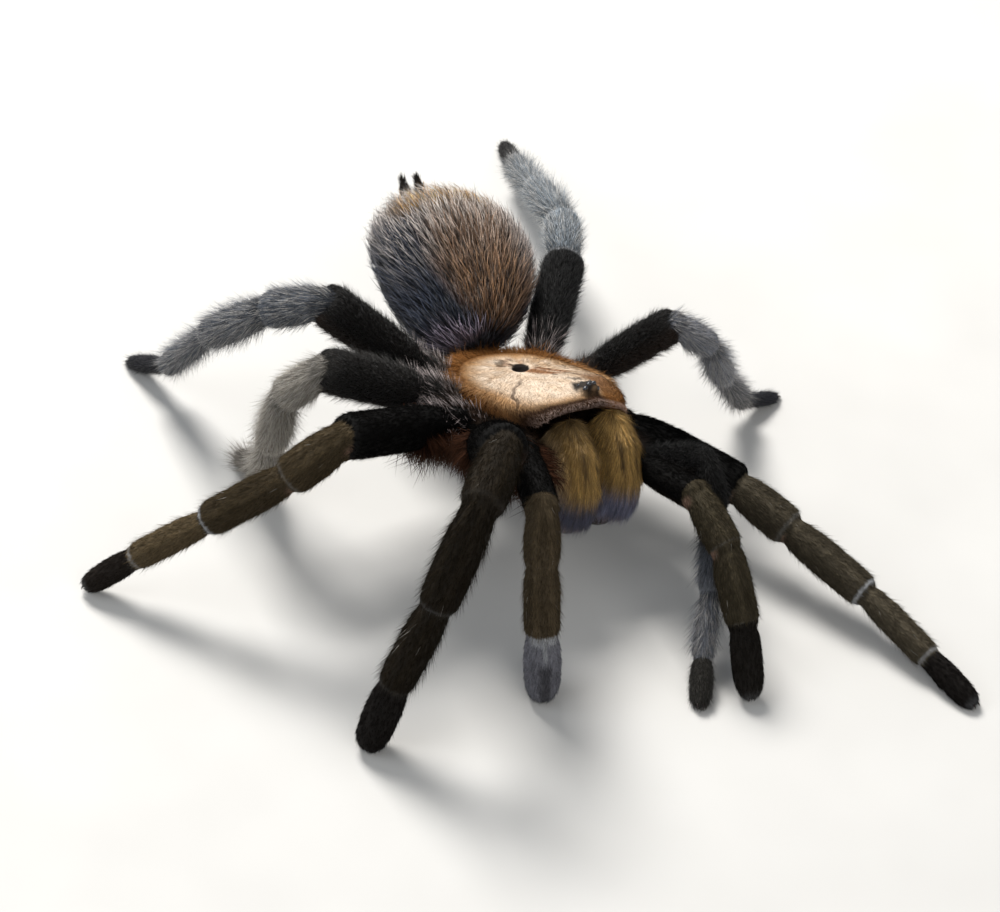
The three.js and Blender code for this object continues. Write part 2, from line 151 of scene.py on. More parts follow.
# ---- The stance ----
# A tarantula is a head plate, a belly plate and an abdomen, with ten limbs of hinged tubes.
# The line of every tube, and which way the head and the tail point, are measured on the frame.
LEG_PARTS = ["femur", "patella", "tibia", "metatarsus", "tarsus"]
PALP_PARTS = ["femur", "patella", "tibia", "tarsus"]
LIMBS = {f"leg_{side}_{pair}": LEG_PARTS for side in ("right", "left") for pair in (1, 2, 3, 4)}
LIMBS.update({f"palp_{side}": PALP_PARTS for side in ("right", "left")})
UP = np.array([0.0, 0.0, 1.0])
SEAM_REACH = 0.6 * MM
SHIELD_RIM_RISE = 0.6 * MM
HIP_SHARE, HIP_DROP = 0.34, 3.2 * MM
COXA_HALF_MOST = 2.0 * MM
THICKNESS_RANK = 85
BACK_LEAN = 0.6
PAST_END_COST, COXA_COST = 0.6, 0.25


def read_threes(items, field, kind=np.float32):
    """A field of three numbers from each vertex or triangle of a mesh."""
    flat = np.empty(3 * len(items), kind)
    items.foreach_get(field, flat)
    return flat.reshape(-1, 3)


def cloud(node):
    """The corner points of one frame solid."""
    corners = read_threes(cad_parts[node].data.vertices, "co")
    return np.unique(corners.astype(float).round(6), axis=0)


def unit(v):
    return v / np.maximum(np.linalg.norm(v, axis=-1, keepdims=True), 1e-12)


def span(v):
    return np.linalg.norm(v, axis=-1)


def joint(one, other):
    """Middle of the seam between two neighbouring solids."""
    gaps = span(one[:, None] - other[None])
    return (one[gaps.min(1) < SEAM_REACH].mean(0) + other[gaps.min(0) < SEAM_REACH].mean(0)) / 2


plate_points = cloud("sternum")
spine = np.linalg.svd(plate_points - plate_points.mean(0))[2][2]
spine = spine * np.sign(spine[2])
flank = cloud("chelicera_left").mean(0) - cloud("chelicera_right").mean(0)
flank = unit(flank - spine * (flank @ spine))
nose = np.cross(flank, spine)
BODY_AXES = np.array([nose, flank, spine])
shield_points = cloud("carapace") @ BODY_AXES.T
body_centre = (shield_points.max(0) + shield_points.min(0)) / 2
body_centre[2] = shield_points[:, 2].min() + SHIELD_RIM_RISE
BODY_ORIGIN = body_centre @ BODY_AXES


def to_body(points):
    """Body coordinates in millimetres: ahead, to the left, and up from the shield's rim."""
    return (points - BODY_ORIGIN) @ BODY_AXES.T / MM


def from_body(points):
    return np.asarray(points) * MM @ BODY_AXES + BODY_ORIGIN


belly_points = cloud("abdomen")
fingers = np.vstack([cloud("spinneret_right"), cloud("spinneret_left")])
tail = unit(fingers.mean(0) - (belly_points.max(0) + belly_points.min(0)) / 2)
tail_side = unit(np.cross(UP, tail))
TAIL_AXES = np.array([tail, tail_side, np.cross(tail, tail_side)])
belly_local = belly_points @ TAIL_AXES.T
TAIL_HALF = (belly_local.max(0) - belly_local.min(0)) / 2
TAIL_ORIGIN = (belly_local.max(0) + belly_local.min(0)) / 2 @ TAIL_AXES

# Every tube of every limb: where it starts and ends, how thick it is, and which way its back faces.
SEGMENTS = []
for limb, parts in LIMBS.items():
    clouds = [cloud(f"{limb}_{part}") for part in parts]
    stops = [joint(cloud("hips"), clouds[0])]
    stops += [joint(one, other) for one, other in zip(clouds, clouds[1:])]
    last = clouds[-1]
    stops.append(last[np.argmax(span(last - stops[-1]))])
    stops.insert(0, BODY_ORIGIN + HIP_SHARE * (stops[0] - BODY_ORIGIN) - HIP_DROP * spine)
    reached = 0.0
    for i, part in enumerate(["coxa", *parts]):
        along = unit(stops[i + 1] - stops[i])
        length = span(stops[i + 1] - stops[i])
        own = clouds[max(i - 1, 0)]
        rel = own - stops[max(i, 1)]
        axis = unit(stops[max(i, 1) + 1] - stops[max(i, 1)])
        radial = span(rel - np.outer(rel @ axis, axis))
        half = np.percentile(radial, THICKNESS_RANK)
        if part == "coxa":
            half = min(COXA_HALF_MOST, half)
        outward = (stops[i] + stops[i + 1]) / 2 - BODY_ORIGIN
        outward[2] = 0
        back = UP + BACK_LEAN * unit(outward)
        back = unit(back - along * (back @ along))
        SEGMENTS.append(SimpleNamespace(
            limb=limb, part=part, start=stops[i], end=stops[i + 1], along=along, length=length, half=half,
            back=back, side=np.cross(along, back), reached=reached))
        reached += length
    for segment in SEGMENTS:
        if segment.limb == limb:
            segment.reach = reached
ABDOMEN_ID = len(SEGMENTS)
TRUNK_ID = len(SEGMENTS) + 1
TRUNK_MIDDLE = np.array([-0.3, 0.0, -2.9])
TRUNK_HALF = np.array([8.4, 6.6, 3.0])


def locate(points):
    """Each point's part, its place along that part (0 to 1 between the joints) and the angle round it."""
    nearest = np.full(len(points), np.inf)
    part = np.zeros(len(points), int)
    t = np.zeros(len(points))
    angle = np.zeros(len(points))

    def offer(number, score, along, turn):
        closer = score < nearest
        nearest[closer] = score[closer]
        part[closer] = number
        t[closer] = along[closer]
        angle[closer] = turn[closer]

    for number, segment in enumerate(SEGMENTS):
        rel = points - segment.start
        share = rel @ segment.along / segment.length
        off = rel - np.outer(np.clip(share, 0, 1) * segment.length, segment.along)
        past_end = np.clip(share - 1, 0, 1) * segment.length
        score = (span(off) + PAST_END_COST * past_end) / segment.half
        if segment.part == "coxa":
            score = score + COXA_COST
        offer(number, score, share, np.arctan2(rel @ segment.side, rel @ segment.back))
    egg = (points - TAIL_ORIGIN) @ TAIL_AXES.T / TAIL_HALF
    trunk = (to_body(points) - TRUNK_MIDDLE) / TRUNK_HALF
    for number, lump in ((ABDOMEN_ID, egg), (TRUNK_ID, trunk)):
        turn = np.arctan2(lump[:, 1], lump[:, 2])
        offer(number, span(lump), (lump[:, 0] + 1) / 2, turn)
    return SimpleNamespace(part=part, t=t, angle=angle)


# ---- Markings ----
# Skin and hair carry one set of colours. The front legs and palps are olive brown, the hind
# legs blue-grey, thighs and feet velvet black, and the leg joints show thin pale rings. Some of
# the shades below are painted light and shade, as noted where each is laid.
GREY_LIMBS = ("leg_right_3", "leg_right_4", "leg_left_1", "leg_left_3", "leg_left_4")
SHIN_SHADES = {
    "leg_right_1": paint("#1e1912"), "leg_right_2": paint("#3b3224"), "leg_right_3": paint("#979187"),
    "leg_right_4": paint("#555960"), "leg_left_1": paint("#70737a"), "leg_left_2": paint("#423c31"),
    "leg_left_3": paint("#868991"), "leg_left_4": paint("#70787f"),
    "palp_right": paint("#493f30"), "palp_left": paint("#3a3428"),
}
SHANK_SHARE = {"leg_right_2": 2.0, "leg_left_2": 1.2, "leg_left_3": 0.5, "leg_left_4": 0.9}
RING_STRENGTH = {"leg_right_1": 0.1, "leg_right_3": 0.15, "leg_right_4": 0.15, "leg_left_1": 0.3,
                 "leg_left_3": 0.15, "leg_left_4": 0.15, "palp_left": 0.5}
# Limbs that carry a painted pink reflection under their knees.
PINK_REFLECTION_KNEES = ("leg_right_2", "leg_left_2", "palp_left")
PALE_TIPS = ("leg_right_2", "leg_left_2", "palp_right", "palp_left")
BROWN_THIGHS = ("leg_right_3", "leg_right_4", "leg_left_3")
THIGH = paint("#0a0908")
FOOT = paint("#171412")
FOOT_SHADES = {
    "palp_right": paint("#74747b"), "palp_left": paint("#1e1b18"), "leg_left_1": paint("#302e2a"),
    "leg_right_2": paint("#211c18"), "leg_right_3": paint("#7b756d"), "leg_right_4": paint("#232327"),
    "leg_left_3": paint("#2b2c33"),
}
PALE_RING = paint("#a4a6a9")
KNEE_PINK_REFLECTION = paint("#a08070")
BELLY_BROWN = paint("#614a38")
BELLY_BLACK = paint("#25252a")
BELLY_BLUE = paint("#252a36")
BELLY_MAUVE = paint("#b0a8a0")
BELLY_GREY = paint("#85807f")
BELLY_LILAC = paint("#8d8190")
RUMP_GOLD = paint("#94703a")
HIP_BROWN = paint("#2c2119")
BELLY_TURN = 0.17


def blend(a, b, share):
    share = np.clip(share, 0, 1)[:, None]
    return a * (1 - share) + b * share


def plain(shade, count):
    return np.tile(shade, (count, 1))


def layered(colour, *layers):
    """Lays shades over a first one, each by its share at every place."""
    for shade, share in layers:
        colour = blend(colour, shade, share)
    return colour


def ramp(value, low, high):
    """Rises from 0 at low to 1 at high."""
    return np.clip((value - low) / (high - low), 0, 1)


def fall(value, low, high):
    """Falls from 1 at low to 0 at high."""
    return np.clip((high - value) / (high - low), 0, 1)


def within(offset, low, high):
    """Falls from 1 to 0 as an offset, to either side, grows from low to high."""
    return fall(np.abs(offset), low, high)


def limb_colour(segment, t, angle):
    """Colour along one tube, with its lengthwise bands and the pale rings at its ends."""
    part, limb = segment.part, segment.limb
    shade = SHIN_SHADES[limb]
    base = {"coxa": HIP_BROWN, "femur": THIGH, "tarsus": FOOT_SHADES.get(limb, FOOT)}.get(part, shade)
    if part == "metatarsus":
        base = shade * SHANK_SHARE.get(limb, 1.0)
    if part == "patella" and limb in ("leg_right_1", "leg_right_2"):
        base = shade * 1.25
    if part == "femur" and limb in BROWN_THIGHS:
        base = THIGH * (5.0 if limb == "leg_right_3" else 2.8)
    # The thighs of leg_left_2 and leg_left_4, on the far side, are darker still: painted shade.
    if part == "femur" and limb in ("leg_left_2", "leg_left_4"):
        base = THIGH * 0.5
    colour = base
    to_end = (1 - t) * segment.length / MM
    from_start = t * segment.length / MM
    if part in ("patella", "tibia", "metatarsus"):
        bands = within(np.abs(angle) - 0.5, 0.15, 0.3)
        colour = blend(colour, base * (1.2 if limb in GREY_LIMBS else 1.5), bands * 0.7)
        strength = RING_STRENGTH.get(limb, 0.9) * {"patella": 0.15, "tibia": 0.9, "metatarsus": 0.5}[part]
        colour = blend(colour, PALE_RING, within(to_end - 0.14, 0.12, 0.24) * strength)
        # The start of each tube on the grey limbs is darkened: painted shade in the crease of the joint.
        if limb in GREY_LIMBS:
            colour = blend(colour, base * 0.35, fall(from_start, 0.2, 0.9) * 0.75)
        elif part != "metatarsus" and limb in PINK_REFLECTION_KNEES:
            # Painted pink reflection on the underside near the start of the tube.
            under = ramp(np.abs(angle), 1.2, 1.7)
            colour = blend(colour, KNEE_PINK_REFLECTION, within(from_start, 0.25, 0.6) * under * 0.5)
    if limb == "leg_left_1" and part in ("patella", "tibia"):
        colour = blend(colour, THIGH, np.ones(len(t)) if part == "patella" else fall(t, 0.25, 0.55))
    if part == "metatarsus" and limb in ("leg_left_3", "leg_left_4"):
        colour = blend(colour, FOOT, ramp(t, 0.55, 0.95) * 0.6)
    if part == "femur":
        colour = blend(colour, HIP_BROWN * 1.2, ramp(np.abs(angle), 2.0, 2.7) * 0.7)
        if limb == "leg_left_4":
            colour = blend(colour, PALE_RING, within(to_end - 0.1, 0.16, 0.32) * 0.5)
    if part == "tarsus" and limb in PALE_TIPS:
        colour = blend(colour, PALE_RING, ramp(t, 0.84, 1.0) * 0.22)
    if part == "tarsus" and limb == "palp_right":
        aside = -np.abs(angle)
        colour = blend(colour, PALE_RING, fall(from_start, 0.4, 0.6) * ramp(aside, -1.3, -0.9) * 0.8)
        colour = blend(colour, PALE_RING, ramp(aside, -0.16, -0.08) * fall(t, 0.24, 0.32) * 0.8)
        colour = blend(colour, FOOT, ramp(aside, -0.5, -0.2) * ramp(t, 0.3, 0.4) * 0.6)
    return colour


def rump_band(t, angle):
    """The golden band across the top of the rump, from 0 to 1."""
    return within(t - 0.715, 0.03, 0.06) * within(angle + BELLY_TURN, 0.8, 1.2)


def abdomen_colour(t, angle):
    """Brown over the front, blue-black down the sides partly as painted shade, pale mauve behind and gold
    round the tail.
    """
    turn = angle + BELLY_TURN
    flank_blue_and_shade = ramp(turn + 0.5 * (t - 0.4), 0.5, 0.9) + ramp(-turn, 1.3, 1.7)
    corner = fall(t, 0.07, 0.13) * ramp(angle, 1.15, 1.45) * fall(angle, 1.9, 2.3)
    return layered(
        BELLY_BROWN,
        (BELLY_GREY, ramp(-turn, 0.35, 0.8) * ramp(t, 0.2, 0.4) * 0.8),
        (BELLY_MAUVE, ramp(t, 0.50, 0.76)),
        # Blue-black down the sides: partly the coat's colour, partly painted shade.
        (BELLY_BLUE, flank_blue_and_shade * (1 - 0.75 * ramp(t, 0.62, 0.85))),
        (BELLY_BROWN * 0.9, fall(t, 0.1, 0.2) * fall(angle, 0.3, 0.9)),
        (BELLY_BLACK, ramp(np.abs(turn), 1.7, 2.4)),
        (BELLY_LILAC, corner * 0.8),
        (RUMP_GOLD, rump_band(t, angle) * 0.9))


def markings(where):
    colour = plain(HIP_BROWN, len(where.t))
    for number in np.unique(where.part):
        chosen = where.part == number
        t, angle = where.t[chosen], where.angle[chosen]
        if number < ABDOMEN_ID:
            colour[chosen] = limb_colour(SEGMENTS[number], t, angle)
        elif number == ABDOMEN_ID:
            colour[chosen] = abdomen_colour(t, angle)
    return colour


# ---- Skin ----
# One soft skin over the trunk, the abdomen and all ten limbs, drawn in at the leg joints. It is
# cast over tubes and eased lumps of the frame, and lies inside them by the depth of the hair.
COAT_DEPTH = {
    "coxa": 0.35, "femur": 0.30, "patella": 0.36, "tibia": 0.38, "metatarsus": 0.36, "tarsus": 0.26,
}
SLEEK_SHARE = 0.6
TUBE_SHAPES = {
    "coxa": [(0, 0.6), (0.6, 0.8), (0.85, 0.95), (1, 0.84)],
    "femur": [(0, 0.66), (0.12, 0.88), (0.35, 1.0), (0.85, 1.02), (0.97, 1.02), (1, 0.96)],
    "patella": [(0, 0.68), (0.15, 0.88), (0.5, 1.0), (0.88, 1.0), (0.97, 0.98), (1, 0.90)],
    "tibia": [(0, 0.68), (0.1, 0.86), (0.35, 1.0), (0.88, 0.98), (0.97, 0.95), (1, 0.88)],
    "metatarsus": [(0, 0.66), (0.1, 0.85), (0.35, 1.0), (0.88, 0.97), (0.97, 0.94), (1, 0.86)],
    "tarsus": [(0, 0.70), (0.12, 0.90), (0.4, 1.0), (0.75, 0.95), (0.9, 0.80), (1, 0.52)],
}
TUBE_SIDES, TUBE_CUTS = 22, 9
OVERLAP = 0.1 * MM
LEFT_PALP_FOOT_SHARE = 0.84


def cast_in_cells(piece, cell, pull, rounds):
    """Casts a piece anew in cells of one size, then eases it."""
    cast = piece.modifiers.new("cast", "REMESH")
    cast.mode = "VOXEL"
    cast.voxel_size = cell
    ease = piece.modifiers.new("ease", "SMOOTH")
    ease.factor = pull
    ease.iterations = rounds


def settle(piece):
    """Applies a piece's modifiers and leaves a plain mesh."""
    graph = bpy.context.evaluated_depsgraph_get()
    mesh = bpy.data.meshes.new_from_object(piece.evaluated_get(graph))
    piece.modifiers.clear()
    piece.data = mesh
    mesh.name = piece.name
    mesh.shade_smooth()
    return piece


def eased(name, nodes, cell, rounds, inset):
    """Copies of frame solids cast as one finely celled lump, smoothed, and drawn in by inset."""
    bm = bmesh.new()
    for node in nodes:
        bm.from_mesh(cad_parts[node].data)
    bmesh.ops.remove_doubles(bm, verts=bm.verts, dist=0.001 * MM)
    piece = finish_mesh(name, bm)
    cast_in_cells(piece, cell, 0.6, rounds)
    draw_in = piece.modifiers.new("draw_in", "DISPLACE")
    draw_in.strength = -inset
    draw_in.mid_level = 0
    return settle(piece)


def add_tube(form, start, end, half, shape):
    """Adds a closed tube whose radius follows shape from start to end."""
    start, end = Vector(start), Vector(end)
    along = end - start
    turn = along.to_track_quat("Z", "Y").to_matrix().to_4x4()
    place = Matrix.Translation((start + end) / 2) @ turn
    tube = bmesh.new()
    bmesh.ops.create_cone(
        tube, cap_ends=True, segments=TUBE_SIDES, radius1=half, radius2=half,
        depth=along.length, matrix=place)
    rails = [edge for edge in tube.edges if edge.calc_length() > 0.9 * along.length]
    bmesh.ops.subdivide_edges(tube, edges=rails, cuts=TUBE_CUTS)
    stations, shares = zip(*shape)
    for vert in tube.verts:
        t = (vert.co - start).dot(along) / along.length_squared
        centre = start + along * t
        vert.co = centre + (vert.co - centre) * float(np.interp(t, stations, shares))
    shaped = bpy.data.meshes.new("tube")
    tube.to_mesh(shaped)
    tube.free()
    form.from_mesh(shaped)
    bpy.data.meshes.remove(shaped)


skin_form = bmesh.new()
for segment in SEGMENTS:
    depth = COAT_DEPTH[segment.part] * (1 if segment.limb in GREY_LIMBS else SLEEK_SHARE)
    flesh = segment.half - depth * MM
    if segment.limb == "palp_left" and segment.part == "tarsus":
        flesh *= LEFT_PALP_FOOT_SHARE
    reach_on = OVERLAP if segment.part != "tarsus" else -0.25 * MM
    begin = segment.start - segment.along * OVERLAP
    stop = segment.end + segment.along * reach_on
    add_tube(skin_form, begin, stop, flesh, TUBE_SHAPES[segment.part])
    if segment.part != "tarsus":
        ball = Matrix.Translation(Vector(segment.end))
        bmesh.ops.create_icosphere(skin_form, subdivisions=3, radius=flesh * 0.66, matrix=ball)
lumps = [
    eased("trunk_lump", ["hips"], cell=0.30 * MM, rounds=6, inset=0.35 * MM),
    eased("abdomen_lump", ["abdomen"], cell=0.40 * MM, rounds=40, inset=0.95 * MM),
]
for lump in lumps:
    skin_form.from_mesh(lump.data)
    bpy.data.objects.remove(lump)
skin = finish_mesh("skin", skin_form)
cast_in_cells(skin, cell=0.30 * MM, pull=0.5, rounds=3)
settle(skin)
for vert in skin.data.vertices:
    vert.co.z = max(vert.co.z, SOLE_GAP)
skin.data.update()


def mesh_arrays(piece):
    """Corner places, triangles and corner normals of a finished piece."""
    mesh = piece.data
    places = read_threes(mesh.vertices, "co").astype(float)
    normals = read_threes(mesh.vertices, "normal").astype(float)
    mesh.calc_loop_triangles()
    return places, read_threes(mesh.loop_triangles, "vertices", np.int32), normals


def put_tint(mesh, colour):
    layer = mesh.color_attributes.new("tint", "FLOAT_COLOR", "POINT")
    rgba = np.ones((len(colour), 4), np.float32)
    rgba[:, :3] = np.clip(colour, 0, 1)
    layer.data.foreach_set("color", rgba.ravel())


def skin_finish(name, roughness, pore_scale, pore_depth=0.06 * MM, darker=0.8):
    """Tough skin: the markings, a little mottled, with fine pores and hair sockets as bump."""
    material, tree, shader = new_material(name, Roughness=roughness, Specular_IOR_Level=0.12)
    place = add_node(tree, "TexCoord")
    tint = add_node(tree, "Attribute")
    tint.attribute_name = "tint"
    mottle = add_node(tree, "TexNoise", Scale=pore_scale * 0.25, Detail=4)
    shades = add_node(tree, "MapRange", To_Min=darker * 0.6, To_Max=darker * 1.4)
    mixed = add_node(tree, "VectorMath")
    mixed.operation = "SCALE"
    pores = add_node(tree, "TexNoise", Scale=pore_scale, Detail=3)
    bump = add_node(tree, "Bump", Strength=0.5, Distance=pore_depth)
    wire(tree, (place, "Object", mottle, "Vector"), (place, "Object", pores, "Vector"),
         (mottle, "Fac", shades, "Value"), (tint, "Color", mixed, 0), (shades, "Result", mixed, "Scale"),
         (mixed, "Vector", shader, "Base Color"), (pores, "Fac", bump, "Height"),
         (bump, "Normal", shader, "Normal"))
    return material


skin_at, skin_tris, skin_out = mesh_arrays(skin)
skin_where = locate(skin_at)
put_tint(skin.data, markings(skin_where))
skin.data.materials.append(skin_finish("soft_skin", roughness=0.8, pore_scale=5000))
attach(skin, "root")
flesh_nodes = [f"{limb}_{part}" for limb, parts in LIMBS.items() for part in parts]
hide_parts("hips", "abdomen", *flesh_nodes)

# ---- Hair ----
# Each hair is a thin closed three-sided spike set a little into the skin. Most are straight,
# the long soft ones have a bend, and all follow the lie of the coat.
SUNK = 0.06 * MM
PATCH = 0.0015
SWAY = 0.22
hair_draws = np.random.default_rng(7)


def scatter(surface, weight, count):
    """Random places on a surface: weight gives each triangle's liking for hair."""
    at, tris, out = surface
    corner = at[tris]
    area = span(np.cross(corner[:, 1] - corner[:, 0], corner[:, 2] - corner[:, 0])) / 2
    chance = area * weight
    picked = hair_draws.choice(len(tris), count, p=chance / chance.sum())
    mix = hair_draws.dirichlet((1, 1, 1), count)[:, :, None]
    return (corner[picked] * mix).sum(1), unit((out[tris[picked]] * mix).sum(1))


def tufts(roots, out, lay, length, thick, rise, droop, bent):
    """Places and triangles of one batch of hairs."""
    count = len(roots)
    lay = unit(lay - out * (lay * out).sum(-1, keepdims=True))
    across = np.cross(out, lay)
    first = lay * np.cos(rise)[:, None] + out * np.sin(rise)[:, None]
    last = lay * np.cos(rise - droop)[:, None] + out * np.sin(rise - droop)[:, None]
    last = unit(last + across * hair_draws.normal(0, SWAY, count)[:, None])
    upright = np.cross(first, across)
    spin = hair_draws.uniform(0, 2 * math.pi, count)
    edge = []
    for k in range(3):
        turn = (spin + k * 2 * math.pi / 3)[:, None]
        edge.append(across * np.cos(turn) + upright * np.sin(turn))
    edge = np.stack(edge, axis=1) * (thick / 2)[:, None, None]
    middle = roots + first * (length * 0.5)[:, None]
    tip = middle + last * (length * 0.5)[:, None]
    foot = (roots - first * SUNK)[:, None] + edge
    if bent:
        places = np.concatenate([foot, middle[:, None] + edge * 0.75, tip[:, None]], axis=1)
        pattern = [(2, 1, 0), (0, 1, 4), (0, 4, 3), (1, 2, 5), (1, 5, 4), (2, 0, 3), (2, 3, 5),
                   (3, 4, 6), (4, 5, 6), (5, 3, 6)]
    else:
        places = np.concatenate([foot, tip[:, None]], axis=1)
        pattern = [(2, 1, 0), (0, 1, 3), (1, 2, 3), (2, 0, 3)]
    size = places.shape[1]
    triangles = (np.arange(count) * size)[:, None, None] + np.array(pattern)[None]
    return places.reshape(-1, 3), triangles.reshape(-1, 3), size


def hair_finish(name, roughness, gloss):
    """Fine hair: each one its own tint, with a soft gloss."""
    material, tree, shader = new_material(name, Roughness=roughness, Specular_IOR_Level=gloss)
    tint = add_node(tree, "Attribute")
    tint.attribute_name = "tint"
    wire(tree, (tint, "Color", shader, "Base Color"))
    return material


def coat(name, batches, finish):
    """Joins batches of hairs, tints and chart places into one piece, with an unwrap named OFBake."""
    places, triangles, tints, charts = [], [], [], []
    offset = 0
    for hairs, colour, chart in batches:
        at, tris, size = tufts(*hairs)
        at[:, 2] = np.maximum(at[:, 2], SOLE_GAP)
        places.append(at)
        triangles.append(tris + offset)
        offset += len(at)
        tints.append(np.repeat(colour, size, axis=0))
        turn = np.arange(size) * 2.4
        patch = np.stack([np.cos(turn), np.sin(turn)], axis=1) * PATCH
        charts.append((chart[:, None] + patch[None]).reshape(-1, 2))
    triangles = np.concatenate(triangles)
    mesh = bpy.data.meshes.new(name)
    mesh.from_pydata(np.concatenate(places), [], triangles)
    unwrap = mesh.uv_layers.new(name="OFBake")
    corners = np.concatenate(charts)[triangles.ravel()]
    unwrap.data.foreach_set("uv", corners.astype(np.float32).ravel())
    put_tint(mesh, np.concatenate(tints))
    mesh.shade_smooth()
    mesh.materials.append(finish)
    piece = add_object(name, mesh)
    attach(piece, "root")


def vary(colour, low, high):
    """Each hair a little lighter or darker than the skin's marking under it."""
    return colour * hair_draws.uniform(low, high, len(colour))[:, None]


def spread(count, middle, share):
    return middle * hair_draws.uniform(1 - share, 1 + share, count)


def strands(grown, lay, size, thick, rise, droop, bent, scale=1.0, uneven=(0.3, 0.35, 0.4)):
    """Hairs of one kind, each with its own length, thickness, rise and droop."""
    roots, out = grown
    count = len(roots)
    size_share, rise_share, droop_share = uneven
    return (roots, out, lay, spread(count, size, size_share) * scale, spread(count, thick, 0.3),
            spread(count, rise, rise_share), spread(count, droop, droop_share), bent)


def round_chart(along, angle):
    """Unwrap of a round part: length along it by angle round it."""
    return 0.01 + 0.98 * np.stack([along, angle / (2 * math.pi) + 0.5], axis=1)


# ---- Coats of the limbs ----
# Short hair lies flat towards the foot, and longer pale hairs stand out of it: few on the
# smooth front legs, many and soft on the hind legs. One piece of coat to a limb.
matte_hair = hair_finish("matte_hair", 0.65, 0.03)
silky_hair = hair_finish("silky_hair", 0.5, 0.3)
segment_limb = np.array([list(LIMBS).index(s.limb) for s in SEGMENTS] + [-1, -2])
part_lengths = np.array([s.length for s in SEGMENTS])
part_names = np.array([s.part for s in SEGMENTS])
skin_limb = segment_limb[skin_where.part][skin_tris[:, 0]]
skin_mid = skin_at[skin_tris].mean(1)
skin_face = unit(skin_out[skin_tris].mean(1))
SHIELD_HALF = (shield_points.max(0) - shield_points.min(0)) / 2 / MM
skin_body = to_body(skin_mid)
under_shield = (np.hypot(*(skin_body[:, :2] / SHIELD_HALF[:2]).T) < 1.04) & (skin_body[:, 2] > -2.5)
on_sole = (skin_mid[:, 2] < 0.5 * MM) & (skin_face[:, 2] < -0.75)
skin_surface = (skin_at, skin_tris, skin_out)
LONG_BY_PART = {
    "coxa": 1.1, "femur": 0.65, "patella": 0.8, "tibia": 1.0, "metatarsus": 1.0, "tarsus": 0.45,
}
WISPY_HIPS = ("leg_right_2", "leg_right_3", "leg_right_4", "leg_left_4")
SHAGGY_HIPS = ("leg_right_1", "leg_right_2", "palp_right")
# Short hair and long hair: count, length, thickness, rise, darkest and lightest shade, pale share.
FLUFFY_HAIR = [(12500, 0.75 * MM, 0.08 * MM, 0.28, (0.45, 1.2), 0.15),
               (11000, 1.9 * MM, 0.04 * MM, 0.56, (0.5, 1.8), 0.5)]
SLEEK_HAIR = [(13000, 0.62 * MM, 0.08 * MM, 0.24, (0.65, 1.4), 0),
              (8000, 1.1 * MM, 0.035 * MM, 0.42, (0.6, 1.6), 0.006)]
LONG_SLEEK_HAIR = [SLEEK_HAIR[0], (8000, 1.6 * MM, 0.035 * MM, 0.42, (0.6, 1.6), 0.006)]
WISP = paint("#c8c3bc")
HIP_WISP = paint("#a89c9a")
HIP_RED = paint("#372217")


def limb_chart(where):
    reached = np.array([s.reached for s in SEGMENTS])[where.part]
    reach = np.array([s.reach for s in SEGMENTS])[where.part]
    along = (reached + where.t * part_lengths[where.part]) / reach
    return round_chart(np.clip(along, 0, 1), where.angle)


def limb_roots(wanted, count):
    """Scatters roots on the wanted triangles and keeps those that lie on a limb."""
    roots, out = scatter(skin_surface, wanted.astype(float), count)
    where = locate(roots)
    keep = where.part < ABDOMEN_ID
    kept = {name: value[keep] for name, value in vars(where).items()}
    return roots[keep], out[keep], SimpleNamespace(**kept)


def limb_hairs(limb, wanted, count, size, thick, rise, shades, wisps):
    """Hairs of one kind on one limb, shorter at its joints. wisps is the pale share on the shin."""
    roots, out, where = limb_roots(wanted, count)
    names = part_names[where.part]
    count = len(roots)
    scale = np.array([LONG_BY_PART[n] for n in names]) if size > MM else np.ones(count)
    if limb == "leg_right_3":
        scale = np.where(np.isin(names, ["metatarsus", "tarsus"]), 1.25, scale)
    to_end = (1 - where.t) * part_lengths[where.part] / MM
    cut, middle, width = (0.78, 0.5, 0.9) if size > 1.7 * MM else (0.62, 0.25, 0.45)
    scale = scale * (1 - cut * np.exp(-((to_end - middle) / width) ** 2) * (names != "tarsus"))
    lay = np.array([s.along for s in SEGMENTS])[where.part] + hair_draws.normal(0, 0.14, (count, 3))
    colour = vary(markings(where), *shades)
    pale_parts = ["metatarsus"] if limb == "leg_left_1" else ["patella", "tibia", "metatarsus"]
    pale = (hair_draws.random(count) < wisps) * np.isin(names, pale_parts)
    colour = blend(colour, WISP, pale * hair_draws.uniform(0.25, 0.85, count))
    rises = spread(count, rise, 0.5)
    near_hip = (names == "coxa") | ((names == "femur") & (where.t < 0.12))
    if limb in WISPY_HIPS:
        tuft = near_hip & (out[:, 2] > -0.2) & (hair_draws.random(count) < 0.13)
        colour = blend(colour, HIP_WISP, tuft * hair_draws.uniform(0.3, 1.0, count))
        scale = np.where(tuft, 1.7 * MM / size, scale)
        rises = np.where(tuft, 0.75, rises)
    hairs = (roots, out, lay, spread(count, size, 0.4) * scale, spread(count, thick, 0.3),
             rises, spread(count, 0.1, 0.4), False)
    return hairs, colour, limb_chart(where)


def hip_fringe(limb, count):
    """Long red-brown hairs that hang from the hip of one limb."""
    number = list(LIMBS).index(limb)
    socket = next(s for s in SEGMENTS if s.limb == limb and s.part == "femur").start
    near = span(skin_mid - socket) < 4.5 * MM
    roots, out, where = limb_roots((skin_limb == number) & near & (skin_face[:, 2] < 0.3), count)
    lay = -UP + 0.5 * out + hair_draws.normal(0, 0.25, (len(roots), 3))
    hairs = strands((roots, out), lay, size=3.2 * MM, thick=0.08 * MM, rise=0.7, droop=0.4, bent=True,
                    uneven=(0.4, 0.4, 0.4))
    return hairs, vary(plain(HIP_RED, len(roots)), 0.5, 1.5), limb_chart(where)


